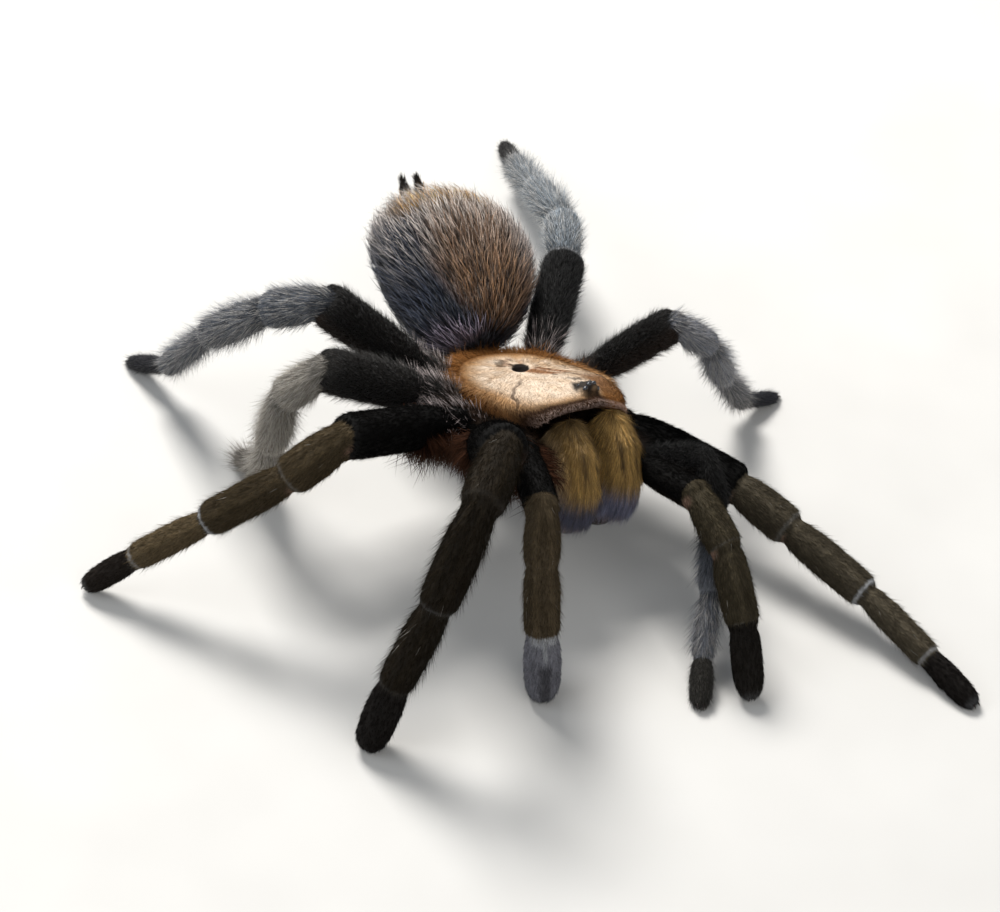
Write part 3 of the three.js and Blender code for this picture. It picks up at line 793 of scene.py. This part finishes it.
for number, limb in enumerate(LIMBS):
    fluffy = limb in GREY_LIMBS
    share = 0.72 if limb.startswith("palp") or limb == "leg_left_1" else 1.0
    wanted = (skin_limb == number) & ~on_sole & ~under_shield
    kinds = FLUFFY_HAIR if fluffy else LONG_SLEEK_HAIR if limb == "leg_right_1" else SLEEK_HAIR
    batches = [limb_hairs(limb, wanted, int(count * share), *kind) for count, *kind in kinds]
    if limb in SHAGGY_HIPS:
        batches.append(hip_fringe(limb, 1700))
    finish, slot = (silky_hair, "grey_hair") if fluffy else (matte_hair, "brown_hair")
    coat(f"{limb}_coat", batches, finish)

# ---- Head shield ----
# One domed plate with a dark pit behind its middle, shallow grooves fanning out from it and a
# low dark mound near the front that carries the eyes. It is horn under fine flat velvet.
PIT = np.array([-2.4, 0.1])
MOUND = np.array([6.9, 0.05])
HEAD_GROOVE_ANGLE = math.radians(46)
SIDE_GROOVE_ANGLES = [math.radians(a) for a in (82, 112, 144)]
SHIELD_PALE = paint("#cfbda9")
SHIELD_TAN = paint("#a98358")
SHIELD_RUST = paint("#7c522c")
SHIELD_ORANGE = paint("#85552d")
SHIELD_DARK = paint("#2b211a")
MOUND_BLACK = paint("#0d0d10")
BROW_BROWN = paint("#3d2b1f")
shield = eased("head_shield", ["carapace", "eye_mound"], cell=0.20 * MM, rounds=4, inset=0.14 * MM)
shield_at, shield_tris, shield_out = mesh_arrays(shield)
shield_body = to_body(shield_at)
rim_turn = np.arctan2(shield_body[:, 1], shield_body[:, 0])
rim_far = np.hypot(shield_body[:, 0], shield_body[:, 1])
RIM_STOPS = np.linspace(-math.pi, math.pi, 91)
RIM_RADII = np.array([
    rim_far[np.abs((rim_turn - a + math.pi) % (2 * math.pi) - math.pi) < 0.06].max() for a in RIM_STOPS])


def rim_gap(body):
    """How far inside the shield's outline each body place is, in millimetres."""
    turn = np.arctan2(body[:, 1], body[:, 0])
    return np.interp(turn, RIM_STOPS, RIM_RADII) - np.hypot(body[:, 0], body[:, 1])


def pit_reach(body):
    """Distance from the pit's middle, where 1 is its edge. The pit is an oval lying aslant."""
    ahead, aside = body[:, 0] - PIT[0], body[:, 1] - PIT[1]
    return np.hypot((ahead + aside) / 1.25, (ahead - aside) / 2.4)


def groove_depths(body):
    """How deep the pit and the fanned grooves are at each body place, from 0 to 1."""
    from_pit = body[:, :2] - PIT
    far = np.hypot(from_pit[:, 0], from_pit[:, 1])
    pit = np.exp(-pit_reach(body) ** 4)
    turn = np.abs(np.arctan2(from_pit[:, 1], from_pit[:, 0]))
    bend = 0.05 * np.sin(far * 1.1) + 0.015 * np.sin(far * 4.1)
    head = np.exp(-(far * (turn - HEAD_GROOVE_ANGLE - bend) / 0.27) ** 2) * ramp(far, 2.0, 5.0)
    fans = sum(np.exp(-(far * (turn - a) / 0.5) ** 2) for a in SIDE_GROOVE_ANGLES)
    return pit, head, fans * ramp(far, 1.2, 2.5) * fall(far, 5.0, 7.5)


def speckle(body, fineness, seed):
    """Soft random blotches from 0 to 1, made of crossed waves."""
    draws = np.random.default_rng(seed)
    total = np.zeros(len(body))
    for _ in range(9):
        heading = unit(draws.normal(size=3)) * draws.uniform(0.7, 1.6) * fineness
        total += np.sin(body @ heading + draws.uniform(0, 6.28))
    return ramp(total, -4, 4)


def shield_colour(places):
    body = to_body(places)
    x, y, gap = body[:, 0], body[:, 1], rim_gap(body)
    blotch = speckle(body, 3.0, 3)
    pit, head, fans = groove_depths(body)
    width = 0.9 + 0.9 * ramp(-x, 1, 7) + 0.4 * ramp(y, 0, 5)
    midline = within(y - 0.3 - 0.9 * ramp(x, -1, 2), 0.9, 1.6) * ramp(blotch, 0.0, 0.3)
    edging = within(np.hypot((x - 3.4) / 1.5, (y - 0.7) / 1.1) - 1, 0.1, 0.3)
    behind = fall(np.hypot((x + 4.2) / 1.3, y / 2.2), 0.7, 1.1)
    mound = np.hypot((x - MOUND[0] + 0.2) / 1.15, (y - MOUND[1]) / 1.5)
    mound = mound + 0.35 * (speckle(body, 4, 6) - 0.5)
    return layered(
        SHIELD_PALE,
        (SHIELD_TAN, fall(gap, width, width * 2.2) * 0.9),
        (SHIELD_TAN, ramp(blotch, 0.3, 0.8) * 0.25 + ramp(y, 0.3, 2.5) * 0.25),
        (SHIELD_RUST, fall(gap, width * 0.5, width + 0.3) * fall(x, -3, 3)),
        (SHIELD_RUST, fall(gap, 0.3, 0.8) * 0.8),
        (SHIELD_ORANGE, midline * ramp(x, -1.9, -1.1) * fall(x, 1.6, 2.6) * 0.85),
        (SHIELD_DARK, edging * ramp(speckle(body, 5, 4), 0.5, 0.6) * 0.6),
        (SHIELD_ORANGE * 0.8, behind * ramp(speckle(body, 4, 8), 0.35, 0.55) * 0.6),
        (SHIELD_DARK, behind * ramp(speckle(body, 5, 5), 0.5, 0.62) * 0.7),
        (BROW_BROWN, ramp(x, 3.2, 5.2) * fall(gap, 0.7, 1.3)),
        (SHIELD_RUST * 0.75, ramp(y, 0.9, 2.0) * ramp(x, 2.8, 5.0) * 0.9),
        (MOUND_BLACK, fall(mound, 0.85, 1.25) * 0.95),
        (BROW_BROWN, ramp(head, 0.45, 0.9) * 0.7),
        (SHIELD_TAN, fans * 0.25),
        (SHIELD_DARK * 0.3, ramp(pit, 0.3, 0.5)))


pit, head, fans = groove_depths(shield_body)
on_top = ramp(shield_body[:, 2], 0.2, 1.0)
brow_corner = ramp(shield_body[:, 0], 3.5, 7.5) * ramp(shield_body[:, 1], 0.5, 4.5)
brow_corner = brow_corner * fall(rim_gap(shield_body), 0.3, 3.0)
sunk = (pit * 0.3 + head * 0.2 + fans * 0.22) * on_top + brow_corner * 1.3
shield_at -= spine * (sunk * MM)[:, None]
shield.data.vertices.foreach_set("co", shield_at.astype(np.float32).ravel())
shield.data.update()
shield_at, shield_tris, shield_out = mesh_arrays(shield)
put_tint(shield.data, shield_colour(shield_at))
velvet_horn = skin_finish("velvet_horn", roughness=0.8, pore_scale=4000, pore_depth=0.05 * MM, darker=0.9)
shield.data.materials.append(velvet_horn)
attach(shield, "root")
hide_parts("carapace", "eye_mound")

# ---- Eyes ----
# Eight glossy lenses set in the mound: two round ones in the middle, four ovals at its front
# and rear corners, and two small ones between. Each is a low dome sunk at its edge.
# How far ahead and aside of the mound's middle each eye is, and its two half widths.
EYES = [
    (0.42, 0.33, 0.27, 0.27), (0.62, 0.90, 0.30, 0.22),
    (-0.30, 0.98, 0.27, 0.20), (-0.34, 0.58, 0.19, 0.15),
]
EYE_SUNK = 0.02
shield_tree = BVHTree.FromPolygons(shield_at.tolist(), shield_tris.tolist())
eye_form = bmesh.new()
for ahead, aside, long_half, short_half in EYES:
    for way in (-1, 1):
        above = Vector(from_body([MOUND[0] + ahead, MOUND[1] + way * aside, 12.0]))
        seat, normal, _, _ = shield_tree.ray_cast(above, Vector(-spine))
        turn = normal.to_track_quat("Z", "X").to_matrix().to_4x4()
        shape = Matrix.Diagonal((long_half * MM, short_half * MM, short_half * 0.8 * MM, 1))
        bmesh.ops.create_uvsphere(
            eye_form, u_segments=20, v_segments=12, radius=1,
            matrix=Matrix.Translation(seat - normal * EYE_SUNK * MM) @ turn @ shape)
eyes = finish_mesh("eyes", eye_form)
eyes.data.shade_smooth()
lens, _, _ = new_material("eye_lens", Base_Color=(0.012, 0.013, 0.018, 1), Roughness=0.14,
                          Coat_Weight=0.4, Coat_Roughness=0.03)
eyes.data.materials.append(lens)
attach(eyes, "root")

# ---- Jaws, fangs and belly plate ----
# Two heavy jaws hang side by side under the shield's front rim. Each folds a curved black fang
# under itself. The belly plate is a flat shield between the legs. All are cast from the frame.
JAW_OLIVE = paint("#9c7e4b")
# Painted shadow that the shield's brow casts on the jaws' tops.
JAW_BROW_SHADOW = paint("#5a4429")
JAW_NAVY = paint("#515262")
JAW_EDGE = paint("#83776e")
FANG_BLACK = paint("#241311")


def jaw_place(places, way):
    """How far down a jaw each place is (0 to 1), how far across it, and its body coordinates."""
    body = to_body(places)
    return fall(body[:, 2], -9.6, 1.2), body[:, 1] * way, body


def jaw_colour(places, way):
    down, across, body = jaw_place(places, way)
    # Strength of the painted brow shadow on each jaw's top, deep on the right jaw and faint on the left,
    # and of painted light on the left jaw's lower navy.
    top, brow_shadow_share, lower = (0.25, 0.95, 1.0) if way < 0 else (1.0, 0.2, 1.9)
    bald = [np.exp(-((across - streak) / 0.16) ** 2) * fall(down, 0.4, 0.5) * ramp(down, 0.12, 0.2)
            for streak in (1.9, 3.4)]
    return layered(
        JAW_OLIVE,
        # Painted shadow of the brow over the jaw's top.
        (JAW_BROW_SHADOW * top, fall(down, 0.1, 0.3) * brow_shadow_share),
        (JAW_OLIVE * 1.3, speckle(body * [1, 3, 0.4], 2.0, 9) * 0.5),
        (SHIELD_DARK, bald[0] * 0.8),
        (SHIELD_DARK, bald[1] * 0.8),
        (JAW_EDGE, ramp(across, 4.5, 5.3) * 0.7),
        # The lower navy, brighter on the left jaw as painted light.
        (JAW_NAVY * lower, ramp(down, 0.54, 0.72)),
        # Painted shade in the gap between the two jaws, down their lower half.
        (JAW_NAVY * 0.35, fall(across, 0.3, 0.6) * ramp(down, 0.25, 0.45)),
        # Painted shade on the back of the jaw, under the shield's rim.
        (SHIELD_DARK, fall(body[:, 0], 6.2, 7.6) * 0.8))


jaw_skin = skin_finish("jaw_skin", roughness=0.45, pore_scale=4500)
fang_horn = mottled_finish("fang_horn", FANG_BLACK * 0.6, FANG_BLACK * 1.3, 900, 0.15)
jaws = {}
for side, way in (("right", -1), ("left", 1)):
    jaw = eased(f"jaw_{side}", [f"chelicera_{side}"], cell=0.20 * MM, rounds=12, inset=0.28 * MM)
    jaws[side] = mesh_arrays(jaw)
    put_tint(jaw.data, jaw_colour(jaws[side][0], way))
    jaw.data.materials.append(jaw_skin)
    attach(jaw, "root")
    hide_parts(f"chelicera_{side}")
    fang = eased(f"fang_{side}_horn", [f"fang_{side}"], cell=0.10 * MM, rounds=8, inset=0.0)
    fang.data.materials.append(fang_horn)
    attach(fang, "root")
    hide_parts(f"fang_{side}")

plate = eased("belly_plate", ["sternum"], cell=0.20 * MM, rounds=5, inset=0.10 * MM)
put_tint(plate.data, plain(HIP_BROWN, len(plate.data.vertices)))
plate.data.materials.append(jaw_skin)
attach(plate, "root")
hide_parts("sternum")

# ---- Spinnerets and claws ----
# Two soft dark fingers stand at the tail end. Each foot ends in a pair of small hooked claws
# that come out between the foot's pads.
CLAW_PATH = [(0.0, 0.0), (0.35, 0.10), (0.62, 0.02), (0.78, -0.16)]
CLAW_BACK, CLAW_RISE, CLAW_ASIDE, CLAW_HALF = 0.55, 0.25, 0.30, 0.11
CLAW_SIDES = 6
CLAW_LOWEST = 0.15 * MM
finger_skin = skin_finish("finger_skin", roughness=0.6, pore_scale=4500)
finger_surfaces = {}
for side in ("right", "left"):
    finger = eased(f"finger_{side}", [f"spinneret_{side}"], cell=0.16 * MM, rounds=8, inset=0.22 * MM)
    finger_surfaces[side] = mesh_arrays(finger)
    put_tint(finger.data, plain(FOOT, len(finger.data.vertices)))
    finger.data.materials.append(finger_skin)
    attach(finger, "root")
    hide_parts(f"spinneret_{side}")

claw_form = bmesh.new()
for segment in SEGMENTS:
    if segment.part != "tarsus":
        continue
    tip = segment.end - segment.along * CLAW_BACK * MM
    lift = unit(np.cross(np.cross(segment.along, UP), segment.along))
    for way in (-1, 1):
        aside = np.cross(lift, segment.along) * way
        rings = []
        for k, (ahead, high) in enumerate(CLAW_PATH):
            middle = tip + (segment.along * ahead + lift * (high + CLAW_RISE) + aside * CLAW_ASIDE) * MM
            middle[2] = max(middle[2], CLAW_LOWEST)
            radius = CLAW_HALF * MM * (1 - k / len(CLAW_PATH))
            turns = np.linspace(0, 2 * math.pi, CLAW_SIDES + 1)[:-1]
            rings.append([claw_form.verts.new(middle + (lift * math.cos(a) + aside * math.sin(a)) * radius)
                          for a in turns])
        for one, other in zip(rings, rings[1:]):
            for k in range(CLAW_SIDES):
                after = (k + 1) % CLAW_SIDES
                claw_form.faces.new((one[k], one[after], other[after], other[k]))
        claw_form.faces.new(rings[0])
        claw_form.faces.new(rings[-1])
bmesh.ops.recalc_face_normals(claw_form, faces=claw_form.faces)
claws = finish_mesh("claws", claw_form)
claws.data.shade_smooth()
claws.data.materials.append(fang_horn)
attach(claws, "root")

# ---- Coat of the abdomen ----
# A soft short undercoat, and over it long bent hairs that spread from the waist over the back
# and down the sides and stand past the rump.
WAIST = TAIL_ORIGIN - tail * TAIL_HALF[0] * 1.35
skin_part = skin_where.part[skin_tris[:, 0]]
COPPER = paint("#a37c58")
BELLY_HAIR_PALE = paint("#cfc5bd")


def abdomen_hairs(count, shades, size, thick, rise, droop, bent):
    """Hairs of one kind on the abdomen. The bent ones carry the coppery and the pale strands."""
    roots, out = scatter(skin_surface, (skin_part == ABDOMEN_ID).astype(float), count)
    where = locate(roots)
    t, angle = where.t, where.angle
    away = unit(roots - WAIST) + UP * (1.1 * fall(t, 0.05, 0.3) - 0.15)[:, None]
    lay = away + hair_draws.normal(0, 0.10 if bent else 0.16, (count, 3))
    wave = angle + 0.05 * np.sin(t * 17 + angle * 3)
    lines = ramp(np.sin(wave * 61) + np.sin(wave * 97 + 1) + np.sin(wave * 37 + 2), -1.8, 1.8)
    colour = vary(markings(where), *shades) * (0.35 + 1.2 * lines)[:, None]
    if bent:
        bright = 0.5 * hair_draws.random(count) + 0.5 * lines
        top = within(angle, 0.9, 1.7)
        middle = top * ramp(t, 0.05, 0.16) * fall(t, 0.3, 0.52) * fall(angle, 0.3, 0.7)
        colour = blend(colour, COPPER, middle * ramp(bright, 0.64, 0.74) * 0.9)
        pale = ramp(t, 0.25, 0.6) * top * ramp(bright, 0.52, 0.62) * (1 - rump_band(t, angle))
        colour = np.minimum(blend(colour, BELLY_HAIR_PALE, pale * 0.9), BELLY_HAIR_PALE)
    else:
        colour = colour * (0.2 + 0.45 * ramp(t, 0.45, 0.8))[:, None]
    longer_behind = 0.65 + 0.5 * ramp(t, 0.2, 0.9)
    hairs = strands((roots, out), lay, size, thick, rise, droop, bent, longer_behind, (0.35, 0.35, 0.4))
    return hairs, colour, round_chart(t, angle)


undercoat = abdomen_hairs(
    28000, shades=(0.5, 1.3), size=1.2 * MM, thick=0.10 * MM, rise=0.34, droop=0.2, bent=False)
coat("abdomen_undercoat", [undercoat], silky_hair)
long_hair = abdomen_hairs(
    11500, shades=(0.15, 2.2), size=3.7 * MM, thick=0.075 * MM, rise=0.32, droop=0.30, bent=True)
coat("abdomen_long_hair", [long_hair], silky_hair)

# ---- Coat of the shield ----
# Fine flat velvet that lies outwards from the pit, and a fringe round the rim: rust and
# standing behind, short and pale in front.
FRINGE_PALE = paint("#b9a196")


def shield_hairs(weight, count, shades, size, thick, rise, droop, bent):
    """Hairs of one kind on the shield. The bent ones are the fringe."""
    roots, out = scatter((shield_at, shield_tris, shield_out), weight, count)
    body = to_body(roots)
    from_pit = (body[:, :2] - PIT) @ BODY_AXES[:2]
    lay = unit(from_pit) + hair_draws.normal(0, 0.15, (count, 3))
    colour = vary(shield_colour(roots), *shades)
    shorter_ahead = 1 - 0.45 * ramp(body[:, 0], 2, 7)
    if bent:
        front = ramp(body[:, 0], 5.5, 7.5) * fall(rim_gap(body), 0.3, 0.6)
        colour = blend(colour, FRINGE_PALE, front * 0.5)
        shorter_ahead = shorter_ahead - 0.35 * ramp(body[:, 0], 5, 7)
    hairs = strands((roots, out), lay, size, thick, rise, droop, bent, shorter_ahead)
    return hairs, colour, 0.5 + body[:, :2] / 24


shield_mid = to_body(shield_at[shield_tris].mean(1))
shield_up = unit(shield_out[shield_tris].mean(1)) @ spine
face_gap = rim_gap(shield_mid)
off_mound = np.hypot((shield_mid[:, 0] - MOUND[0]) / 0.9, (shield_mid[:, 1] - MOUND[1]) / 1.2) > 1
off_pit = pit_reach(shield_mid) > 1.15
velvet = ((shield_up > 0.1) & off_mound & off_pit) * (0.4 + 0.6 * fall(face_gap, 1.5, 3.0))
fringe = ((shield_up > -0.6) & (face_gap < 0.9)).astype(float) * np.where(shield_mid[:, 0] < 5, 1.0, 0.6)
velvet_hair = shield_hairs(
    velvet, 15000, shades=(0.90, 1.08), size=0.55 * MM, thick=0.06 * MM, rise=0.08, droop=0.05, bent=False)
coat("shield_velvet", [velvet_hair], matte_hair)
fringe_hair = shield_hairs(
    fringe, 6000, shades=(0.7, 1.4), size=1.6 * MM, thick=0.05 * MM, rise=0.42, droop=0.2, bent=True)
coat("shield_fringe", [fringe_hair], matte_hair)

# ---- Coats of the jaws, fingers and trunk ----
# Long fine hair hangs down the jaws, with a pale fringe at their lower edge. The fingers are
# velvety, and the trunk between the legs is shaggy brown.
FINGER_HAIRS = 900


def jaw_hairs(side, way, count, lightest, **kind):
    surface = jaws[side]
    middles = to_body(surface[0][surface[1]].mean(1))
    clear = (middles[:, 1] * way > 0.45) & (middles[:, 0] > 6.3)
    roots, out = scatter(surface, clear.astype(float), count)
    down, across, body = jaw_place(roots, way)
    lay = -spine - nose * 0.2 * ramp(down, 0.5, 1)[:, None] + hair_draws.normal(0, 0.07, (count, 3))
    # Streaks across the hair, lighter and darker: partly the hairs' own tone, partly painted highlight.
    lines = speckle(body * [0.2, 13, 0.4], 2.0, 12)[:, None]
    colour = vary(jaw_colour(roots, way), 0.6, lightest) * (0.6 + 0.8 * lines)
    colour = blend(colour, FRINGE_PALE, ramp(down, 0.86, 0.95) * hair_draws.random(count) * 0.8)
    chart = np.stack([0.05 + 0.9 * down, 0.5 + across / 14], axis=1)
    return strands((roots, out), lay, bent=False, **kind), colour, chart


def finger_hairs(side):
    surface = finger_surfaces[side]
    roots, out = scatter(surface, np.ones(len(surface[1])), FINGER_HAIRS)
    share = ramp((roots - TAIL_ORIGIN) @ tail, TAIL_HALF[0] * 0.7, TAIL_HALF[0] * 1.5)
    around = (roots - fingers.mean(0)) @ TAIL_AXES[1] / (4 * MM)
    chart = np.stack([0.05 + 0.9 * share, 0.5 + np.clip(around, -0.45, 0.45)], axis=1)
    hairs = strands((roots, out), np.tile(tail, (FINGER_HAIRS, 1)), size=0.9 * MM, thick=0.06 * MM,
                    rise=0.45, droop=0.2, bent=True, uneven=(0.3, 0.3, 0.3))
    return hairs, vary(plain(FOOT, FINGER_HAIRS), 0.8, 2.0), chart


def trunk_hairs(count, **kind):
    roots, out = scatter(skin_surface, ((skin_part == TRUNK_ID) & ~on_sole).astype(float), count)
    where = locate(roots)
    lay = unit(roots - BODY_ORIGIN - UP * 0.2 * MM) + hair_draws.normal(0, 0.25, (count, 3))
    hairs = strands((roots, out), lay, uneven=(0.35, 0.35, 0.4), **kind)
    return hairs, vary(markings(where), 0.7, 1.8), round_chart(where.t, where.angle)


for side, way in (("right", -1), ("left", 1)):
    short = jaw_hairs(side, way, 14000, 1.4, size=0.95 * MM, thick=0.05 * MM, rise=0.10, droop=0.05)
    long = jaw_hairs(side, way, 7500, 2.3, size=1.7 * MM, thick=0.035 * MM, rise=0.16, droop=0.08)
    coat(f"jaw_{side}_coat", [short, long], silky_hair)
    coat(f"finger_{side}_coat", [finger_hairs(side)], matte_hair)

short = trunk_hairs(9000, size=1.1 * MM, thick=0.11 * MM, rise=0.35, droop=0.2, bent=False)
long = trunk_hairs(3000, size=2.3 * MM, thick=0.07 * MM, rise=0.6, droop=0.35, bent=True)
coat("trunk_coat", [short, long], matte_hair)
